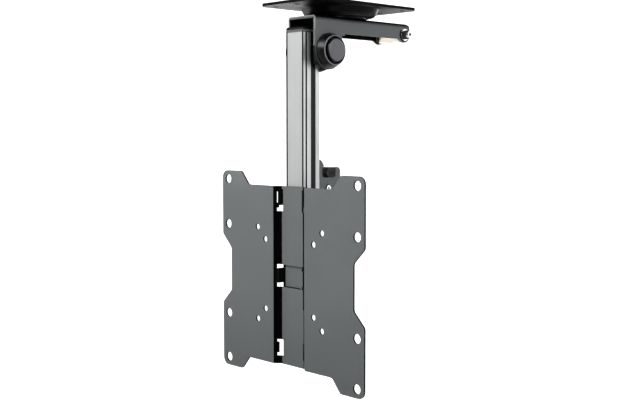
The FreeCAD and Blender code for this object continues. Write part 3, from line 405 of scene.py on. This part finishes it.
# extruded or drawn metal: long fine lines along one axis under a satin finish
def linedMetal(name, settings):
    material, tree, place = startMaterial(name, settings)
    lines = grain(tree, place, settings, "line", settings["stretch"])
    bands = grain(tree, place, settings, "band", settings["stretch"])
    cloud = grain(tree, place, settings, "cloud")
    coats = [(bands, "patchSpan", 1.0, settings["bandColour"])]
    start, end = finishSettings["patchSpan"]
    clouded = addNode(tree, "ShaderNodeMapRange", {"Value": cloud, "From Min": start, "From Max": end,
                                                   "To Max": finishSettings["cloudShare"]})
    dullness = addNode(tree, "ShaderNodeMath", {"operation": "MULTIPLY_ADD", 0: lines,
                                                1: finishSettings["lineShare"], 2: clouded.outputs["Result"]})
    reliefs = [(lines, settings["lineDepth"])]
    return finishMaterial(material, settings, coats, dullness.outputs["Value"], reliefs)


# moulded plastic or rubber: a fine spark-eroded grain and faint flow clouds
def moulded(name, settings):
    material, tree, place = startMaterial(name, settings)
    fine = grain(tree, place, settings, "grain")
    flow = grain(tree, place, settings, "flow")
    coats = [(flow, "patchSpan", 1.0, settings["flowColour"])]
    if "softShare" in settings:
        shader = tree.nodes["Principled BSDF"]
        shader.inputs["Subsurface Weight"].default_value = settings["softShare"]
        shader.inputs["Subsurface Scale"].default_value = settings["softDepth"] * millimetre
    return finishMaterial(material, settings, coats, flow, [(fine, settings["grainDepth"])])


# heights past both ends of the screen plate, in millimetres
plateTop = -170.0
plateBottom = -400.0
# folded steel sheet, sprayed with polyester powder and baked: an even dark grey with a soft bloom.
# Orange peel waves are 1 to 2 mm apart; the speckle is under 0.2 mm and is drawn at 0.45 mm to show
powderGrey = powderCoat("powderCoatGrey", {
    "metallic": 0.0, "sheen": 0.34, "colour": "#5D6061", "cloudColour": "#616465",
    "speckleColour": "#6D7071", "speckleAmount": 0.5,
    "edgeColour": "#1E2021", "edgeAmount": 0.8, "edgeWidth": 0.9,
    "peelSize": 1.6, "peelDepth": 0.012, "speckleSize": 0.45, "speckleDepth": 0.006,
    "cloudSize": 30.0, "roughness": (0.46, 0.58), "softEdge": 0.35,
    "paintedLightAndShade": [
        # painted shade: the grey coat darkens towards the screen plate's lower end
        {"colour": "#4A4D4E",
         "fade": {"along": (0.0, 0.0, 1.0), "start": -300.0, "end": -390.0, "most": 0.5}},
        # the arm is in shade beside the front half of the striker's washers
        {"colour": "#101112", "sheenKept": 0.3, "ring": ("striker", 7.2, 0.8),
         "boxes": [((-22.0, 70.0, -38.0), (22.0, 80.5, -22.0))]},
        # the housing is in shade round the rivet's heads
        {"colour": "#101112", "sheenKept": 0.3, "ring": ("rivet", 3.3, 0.6),
         "sparedBoxes": [((-12.3, -62.0, -230.0), (12.3, 0.0, -160.0))]},
        # painted shade: the coat is coloured dark inside the arm's channel
        {"colour": "#060606", "sheenKept": 0.1, "boxes": [((-18.4, -60.0, -80.0), (16.5, 95.0, -17.6))]},
        # the sheet's cut edge round the hinge, in the shade of the cover
        {"colour": "#1C1D1E", "sheenKept": 0.3, "boxes": [((-21.0, -57.0, -72.0), (21.0, -14.0, -46.0))],
         "sparedFacing": [("X", 0.3, 0.6)]},
        # painted highlight along the arm's front cut edge
        {"colour": "#8F9090", "boxes": [((-18.6, -56.3, -29.0), (20.5, -55.8, -14.9))],
         "sparedBoxes": [((-22.0, -57.0, -80.0), (19.4, -55.0, -15.8))]},
        # painted shade: the leaning left wall of the screen plate's channel, where it faces right and
        # forward, is coloured almost black
        {"colour": "#040404", "sheenKept": 0.0, "facing": [("+X", 0.2, 0.45), ("-Y", 0.2, 0.4)],
         "boxes": [((-24.6, -75.2, plateBottom), (0.0, -66.0, plateTop))]},
        # the head bracket's hooks and tongues stand in the shade behind the screen plate
        {"colour": "#050505", "sheenKept": 0.1,
         "boxes": [((14.6, -76.0, -219.0), (21.0, -62.0, -195.0)),
                   ((-21.0, -76.0, -219.0), (-14.6, -62.0, -195.0)),
                   ((-21.0, -76.0, -299.5), (-13.4, -62.0, -275.0)),
                   ((16.0, -72.8, -320.0), (21.0, -62.0, -190.0)),
                   ((-21.0, -72.9, plateBottom), (-16.4, -62.0, plateTop))]},
        # thin shade line round the middle opening, on the web behind it
        {"colour": "#0C0D0E", "sheenKept": 0.2, "boxes": [((-14.0, -68.0, -300.0), (14.0, -66.0, -275.0))],
         "sparedBoxes": [((-15.0, -69.0, -298.3), (15.0, -65.0, -276.3))]},
        # painted shade on the cut edges of the screen plate and of its holes, but not on the wall beside the
        # middle opening
        {"colour": "#141516", "sheenKept": 0.2,
         "boxes": [((-111.0, -76.5, plateBottom), (111.0, -66.0, -177.0))],
         "sparedBoxes": [((-14.5, -76.5, -300.0), (-12.0, -66.0, -274.0))],
         "sparedFacing": [("Y", 0.2, 0.45)]},
        # shade in the fold where the channel's floor meets its right wall
        {"colour": "#17191A", "sheenKept": 0.2, "facing": [("-Y", 0.3, 0.8)],
         "boxes": [((16.9, -72.9, plateBottom), (19.5, -66.0, plateTop))]},
        # painted shade on the arm's top bends, under the dish
        {"colour": "#060707", "sheenKept": 0.15, "facing": [("+Z", 0.2, 0.6)],
         "boxes": [((-21.0, -55.5, -18.0), (-17.2, 95.0, -14.0)),
                   ((17.2, -55.5, -18.0), (21.0, 95.0, -14.0))]},
        # the arm's sides darken towards the top bends, in the shade of the ceiling plate
        {"colour": "#0A0B0C", "sheenKept": 0.2, "facing": [("X", 0.2, 0.5)],
         "fade": {"along": (0.0, 0.0, 1.0), "start": -20.0, "end": -16.3}},
    ],
})
# the same coat in smoother black: a half gloss on top that turns almost black in the shade
powderBlack = powderCoat("powderCoatBlack", {
    "metallic": 0.0, "sheen": 0.35, "colour": "#1B1C1D", "cloudColour": "#202122",
    "speckleColour": "#2A2B2C", "speckleAmount": 0.35,
    "edgeColour": "#0A0A0B", "edgeAmount": 0.4, "edgeWidth": 0.8,
    "peelSize": 1.8, "peelDepth": 0.010, "speckleSize": 0.5, "speckleDepth": 0.004,
    "cloudSize": 40.0, "roughness": (0.30, 0.40), "softEdge": 0.4,
    "paintedLightAndShade": [
        # the ceiling plate's underside falls into shade away from its front left corner
        {"colour": "#070707", "sheenKept": 0.22, "facing": [("-Z", -0.3, 0.3)],
         "fade": {"along": (1.0, 1.0, 0.0), "start": -105.0, "end": -35.0}},
        # the ceiling plate's narrow edges and hole walls face nothing bright
        {"colour": "#050505", "sheenKept": 0.2, "boxes": [((-47.0, -77.0, -3.2), (47.0, 77.0, 0.1))],
         "sparedFacing": [("Z", 0.4, 0.8)]},
    ],
})
# the knuckle is cast iron, sprayed black: a coarse skin that breaks its highlights up
castBlack = powderCoat("castBlack", {
    "metallic": 0.0, "colour": "#141415", "cloudColour": "#19191A",
    "speckleColour": "#232425", "speckleAmount": 0.5,
    "edgeColour": "#2C2D2E", "edgeAmount": 0.3, "edgeWidth": 0.8,
    "peelSize": 1.1, "peelDepth": 0.03, "speckleSize": 0.5, "speckleDepth": 0.012,
    "cloudSize": 18.0, "roughness": (0.42, 0.55), "softEdge": 0.6,
})
# height of the column's top, where its moulded cap begins
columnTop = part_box("column_profile")[1].z / millimetre
# heights past both ends of the column, and planes just past its side faces and its front,
# with one behind its grooves, in millimetres
columnAbove = 0.0
columnBelow = -300.0
columnSide = 12.6
columnFront = -67.1
columnRear = -40.0
# extruded aluminium with a satin anodised skin: pale silver, drawn out along its length.
# Die lines are about 0.1 mm apart and are drawn at 0.35 mm to show
anodised = linedMetal("anodisedColumn", {
    "metallic": 1.0, "colour": "#CACBCB", "bandColour": "#D0D1D1",
    "edgeColour": "#DADADA", "edgeAmount": 0.25, "edgeWidth": 0.5,
    "lineSize": 0.35, "lineDepth": 0.002, "bandSize": 2.4, "stretch": (1.0, 1.0, 400.0),
    "cloudSize": 22.0, "roughness": (0.34, 0.46), "softEdge": 0.25,
    "paintedLightAndShade": [
        # painted shade on the top millimetre of the column, just under its cap, darker and less glossy
        {"colour": "#7A7B7C", "sheenKept": 0.6,
         "boxes": [((-columnSide, columnFront, columnTop - 1.0), (columnSide, columnRear, columnTop + 0.1))]},
        # the side grooves hold shade
        {"colour": "#080808", "sheenKept": 0.2,
         "boxes": [((-columnSide, -66.9, columnBelow), (columnSide, -65.1, columnAbove)),
                   ((-columnSide, -62.3, columnBelow), (columnSide, -60.1, columnAbove))],
         "sparedBoxes": [((-10.0, -68.0, columnBelow), (10.0, columnRear, columnAbove))]},
        # the front left edge holds shade too
        {"colour": "#0E0E0E", "sheenKept": 0.2,
         "boxes": [((-columnSide, columnFront, columnBelow), (-9.75, -64.0, columnAbove))]},
    ],
})
# turned steel with bright zinc plating: bluish grey, its corners catch the light
zincSteel = linedMetal("zincSteel", {
    "metallic": 1.0, "colour": "#B4B8BC", "bandColour": "#C0C2BC",
    "edgeColour": "#E2E4E6", "edgeAmount": 0.5, "edgeWidth": 0.4,
    "lineSize": 0.3, "lineDepth": 0.003, "bandSize": 1.5, "stretch": (6.0, 1.0, 1.0),
    "cloudSize": 6.0, "roughness": (0.24, 0.38), "softEdge": 0.2,
})
# coiled and oiled spring steel: dull grey with a thin gleam along the wire
springSteel = linedMetal("springSteel", {
    "metallic": 1.0, "colour": "#77787A", "bandColour": "#828386",
    "edgeColour": "#A0A1A3", "edgeAmount": 0.4, "edgeWidth": 0.3,
    "lineSize": 0.2, "lineDepth": 0.002, "bandSize": 1.2, "stretch": (4.0, 1.0, 1.0),
    "cloudSize": 5.0, "roughness": (0.28, 0.42), "softEdge": 0.1,
})
# stamped steel with a phosphate skin: matt charcoal, brighter where it rubs
clawSteel = linedMetal("clawSteel", {
    "metallic": 0.6, "colour": "#3A3C3E", "bandColour": "#434547",
    "edgeColour": "#77797B", "edgeAmount": 0.5, "edgeWidth": 0.4,
    "lineSize": 0.4, "lineDepth": 0.004, "bandSize": 2.0, "stretch": (1.0, 8.0, 1.0),
    "cloudSize": 8.0, "roughness": (0.42, 0.55), "softEdge": 0.2,
})
# turned steel, polished and chrome plated: a clear mirror with white and black side by side
chrome = linedMetal("brightChrome", {
    "metallic": 1.0, "colour": "#E6E8EA", "bandColour": "#E9EBEC",
    "edgeColour": "#FFFFFF", "edgeAmount": 0.2, "edgeWidth": 0.2,
    "lineSize": 0.25, "lineDepth": 0.0006, "bandSize": 1.0, "stretch": (1.0, 12.0, 12.0),
    "cloudSize": 6.0, "roughness": (0.05, 0.12), "softEdge": 0.5,
    "paintedLightAndShade": [
        # painted shade of shallow centre holes in the striker's ends and in the rivet's heads: dark discs at
        # their centres
        {"colour": "#26282A", "sheenKept": 0.4, "ring": ("striker", 0.0, 1.8)},
        {"colour": "#26282A", "sheenKept": 0.4, "ring": ("rivet", 0.0, 1.2)},
    ],
})
# injection moulded ABS: deep black with one soft highlight.
# The mould's spark grain is about 0.05 mm and is drawn at 0.35 mm to show
mouldedBlack = moulded("mouldedBlack", {
    "metallic": 0.0, "sheen": 0.2, "colour": "#040405", "flowColour": "#070708",
    "edgeColour": "#0D0D0E", "edgeAmount": 0.35, "edgeWidth": 0.4,
    "grainSize": 0.35, "grainDepth": 0.004, "flowSize": 9.0, "roughness": (0.28, 0.36), "softEdge": 0.25,
    "paintedLightAndShade": [
        # painted highlight on the raised rim round the button of a hinge cover, on the outer faces alone
        {"colour": "#7E8082", "ring": ("hinge", 15.0, 0.45),
         "sparedBoxes": [((-29.7, -56.0, -70.0), (29.7, -17.0, -31.0))]},
        # the cap's lower band catches light from the bright column under it
        {"colour": "#555657", "boxes": [((-12.7, -67.2, columnTop), (12.7, columnRear, columnTop + 2.0))]},
    ],
})
# injection moulded ABS in dark grey: flat and even, with a faint bloom
buttonGrey = moulded("buttonGrey", {
    "metallic": 0.0, "colour": "#5C5D61", "flowColour": "#606165",
    "edgeColour": "#747578", "edgeAmount": 0.3, "edgeWidth": 0.4,
    "grainSize": 0.3, "grainDepth": 0.006, "flowSize": 8.0, "roughness": (0.38, 0.46), "softEdge": 0.25,
    # painted shade: the side wall of a cover's button is coloured black
    "paintedLightAndShade": [{"colour": "#050506", "sheenKept": 0.5, "sparedFacing": [("X", 0.7, 0.9)]}],
})
# moulded nylon for the grip: matt black, so its ribs show by their shade alone
ribbedBlack = moulded("ribbedBlack", {
    "metallic": 0.0, "colour": "#0A0A0B", "flowColour": "#0D0D0E",
    "edgeColour": "#1C1D1E", "edgeAmount": 0.4, "edgeWidth": 0.3,
    "grainSize": 0.25, "grainDepth": 0.006, "flowSize": 5.0, "roughness": (0.40, 0.52), "softEdge": 0.2,
})
# moulded rubber: dull black with hardly any highlight
collarBlack = moulded("collarBlack", {
    "metallic": 0.0, "colour": "#0B0B0B", "flowColour": "#0E0E0E",
    "edgeColour": "#1A1A1A", "edgeAmount": 0.3, "edgeWidth": 0.3,
    "grainSize": 0.2, "grainDepth": 0.01, "flowSize": 4.0, "roughness": (0.62, 0.74), "softEdge": 0.2,
})
# soft cast polyurethane: warm cream that lets a little light in
bufferCream = moulded("bufferCream", {
    "metallic": 0.0, "colour": "#FBF4E3", "flowColour": "#FDF7EA",
    "edgeColour": "#FFFCF6", "edgeAmount": 0.3, "edgeWidth": 0.6,
    "grainSize": 0.4, "grainDepth": 0.01, "flowSize": 10.0, "roughness": (0.5, 0.62), "softEdge": 0.5,
    "softShare": 0.05, "softDepth": 1.0,
    # painted shade on the cushion's underside, a little darker and duller
    "paintedLightAndShade": [{"colour": "#CFCABC", "sheenKept": 0.8, "facing": [("-Z", 0.5, 0.9)]}],
})
slotMaterials = {
    "powder_coat_black": powderBlack,
    "powder_coat_grey": powderGrey,
    "anodised_column": anodised,
    "cast_knuckle": castBlack,
    "moulded_black": mouldedBlack,
    "button_grey": buttonGrey,
    "ribbed_black": ribbedBlack,
    "zinc_steel": zincSteel,
    "spring_steel": springSteel,
    "claw_steel": clawSteel,
    "bright_chrome": chrome,
    "collar_black": collarBlack,
    "buffer_cream": bufferCream,
}
for subpart in frame["record"]["subparts"]:
    for materialSlot in frame["nodes"][subpart["node"]].material_slots:
        materialSlot.material = slotMaterials[subpart["material_slot"]]
print("materials made")


# a closed skin over a row of rings of vertices
def skinRings(shape, rings):
    count = len(rings[0])
    for lower, upper in zip(rings, rings[1:]):
        for k in range(count):
            nextK = (k + 1) % count
            shape.faces.new((lower[nextK], upper[nextK], upper[k], lower[k]))
    shape.faces.new(list(reversed(rings[0])))
    shape.faces.new(rings[-1])


# a finished mesh as a piece that rides on a body and takes a slot's finish
def addPiece(name, shape, body, slotName):
    mesh = bpy.data.meshes.new(name)
    shape.to_mesh(mesh)
    shape.free()
    mesh.materials.append(slotMaterials[slotName])
    mesh.polygons.foreach_set("use_smooth", [True] * len(mesh.polygons))
    piece = bpy.data.objects.new(name, mesh)
    bpy.context.scene.collection.objects.link(piece)
    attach(piece, body)


# upright finger ribs on both side faces of the latch's grip; lengths in millimetres
ribSettings = {"pitch": 1.55, "radius": 0.42, "proud": 0.3, "margin": 1.5, "reach": 9.0, "tipShare": 0.35,
               "sides": 10, "count": 6}


# a level ring of vertices round a centre
def addRing(shape, centre, radius, sides):
    turns = [2 * math.pi * k / sides for k in range(sides)]
    x, y, z = centre
    return [shape.verts.new((x + radius * math.cos(turn), y + radius * math.sin(turn), z)) for turn in turns]


def makeRibs(settings):
    low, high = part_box("latch_grip")
    radius = settings["radius"] * millimetre
    bottom = high.z - settings["reach"] * millimetre
    top = high.z - settings["margin"] * millimetre
    tip = radius * settings["tipShare"]
    levels = [(bottom, tip), (bottom + radius, radius), (top - radius, radius), (top, tip)]
    shape = bmesh.new()
    for side in (-1, 1):
        faceX = high.x if side > 0 else low.x
        centreX = faceX - side * (settings["radius"] - settings["proud"]) * millimetre
        for i in range(settings["count"]):
            centreY = high.y - (settings["margin"] + i * settings["pitch"]) * millimetre
            rings = [addRing(shape, (centreX, centreY, z), width, settings["sides"]) for z, width in levels]
            skinRings(shape, rings)
    return shape


addPiece("gripRibs", makeRibs(ribSettings), "latch", "ribbed_black")
print("latch ribs made")

# the screw thread on the swivel bolt's tip, under its nut: one ridge wound round the shank;
# lengths in millimetres
threadSettings = {"radius": 5.0, "proud": 0.12, "root": 0.35, "pitch": 1.5, "halfWidth": 0.42,
                  "bottom": -30.9, "top": -29.5, "stepsPerTurn": 40, "fadeSteps": 8}


def makeThread(settings):
    turns = (settings["top"] - settings["bottom"]) / settings["pitch"]
    steps = round(turns * settings["stepsPerTurn"])
    root = settings["radius"] - settings["root"]
    shape = bmesh.new()
    rings = []
    for i in range(steps + 1):
        turn = 2 * math.pi * i / settings["stepsPerTurn"]
        height = settings["bottom"] + settings["pitch"] * i / settings["stepsPerTurn"]
        fade = min(1.0, min(i, steps - i) / settings["fadeSteps"])
        crest = settings["radius"] + settings["proud"] * fade
        ring = []
        for radius, rise in ((root, settings["halfWidth"]), (crest, 0.0), (root, -settings["halfWidth"])):
            ring.append(shape.verts.new((radius * math.cos(turn) * millimetre,
                                         radius * math.sin(turn) * millimetre,
                                         (height + rise) * millimetre)))
        rings.append(ring)
    skinRings(shape, rings)
    return shape


addPiece("swivelThread", makeThread(threadSettings), "ceiling", "zinc_steel")
print("swivel thread made")
